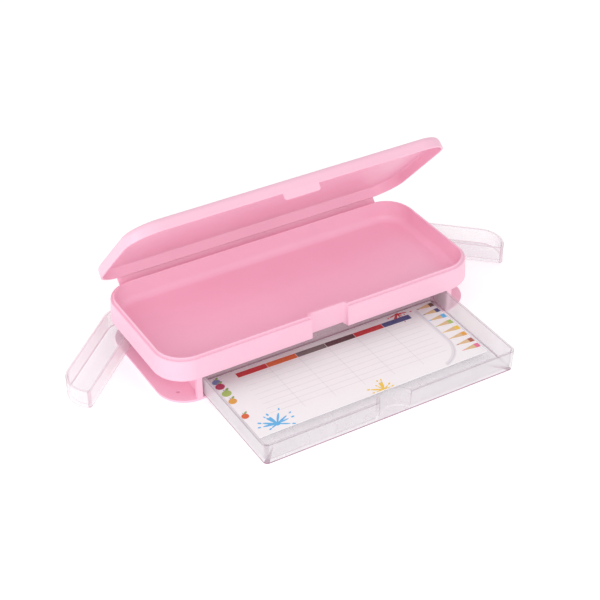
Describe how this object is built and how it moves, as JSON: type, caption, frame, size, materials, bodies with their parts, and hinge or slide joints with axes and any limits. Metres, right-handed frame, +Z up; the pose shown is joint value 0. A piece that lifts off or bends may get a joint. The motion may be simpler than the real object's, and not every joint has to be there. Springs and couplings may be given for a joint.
{
  "type": "pencil case",
  "caption": "Flat pink pencil case with a hinged lid over a tray, a clear drawer that slides out of its front and a clear side tray that swings out of each end.",
  "frame": {"origin": "centre of the base's underside, where the case rests", "axes": "+X along the case to its right end, -Y out of the front where the drawer opens, +Z up"},
  "size_m": [0.3434, 0.1935, 0.1161],
  "materials": {
    "pink_plastic": "smooth moulded polypropylene, softly glossy",
    "clear_plastic": "clear polystyrene",
    "printed_card": "coated card with a printed blank timetable",
    "steel": "plain wire and zinc-plated screws"
  },
  "bodies": {
    "case": {"base_shell": "pink_plastic", "upper_tray": "pink_plastic", "hinge_pin_left": "steel", "hinge_pin_middle": "steel", "hinge_pin_right": "steel", "pivot_screw_left": "steel", "pivot_screw_right": "steel"},
    "lid": {"lid": "pink_plastic"},
    "drawer": {"drawer": "clear_plastic", "timetable_card": "printed_card"},
    "side_tray_left": {"side_tray_left": "clear_plastic"},
    "side_tray_right": {"side_tray_right": "clear_plastic"}
  },
  "joints": [
    {"name": "lid_hinge", "type": "hinge", "parent": "case", "child": "lid", "pos_m": [0, 0.0546, 0.0282], "axis": [-1, 0, 0], "range_deg": [-47.2, 62.8]},
    {"name": "drawer_slide", "type": "slide", "parent": "case", "child": "drawer", "axis": [0, -1, 0], "range_m": [-0.0805, 0]},
    {"name": "side_tray_left_pivot", "type": "hinge", "parent": "case", "child": "side_tray_left", "pos_m": [-0.1056, 0.0405, 0.009], "axis": [0, 0, 1], "range_deg": [-47, 47]},
    {"name": "side_tray_right_pivot", "type": "hinge", "parent": "case", "child": "side_tray_right", "pos_m": [0.1056, 0.0405, 0.009], "axis": [0, 0, -1], "range_deg": [-47, 47]}
  ]
}
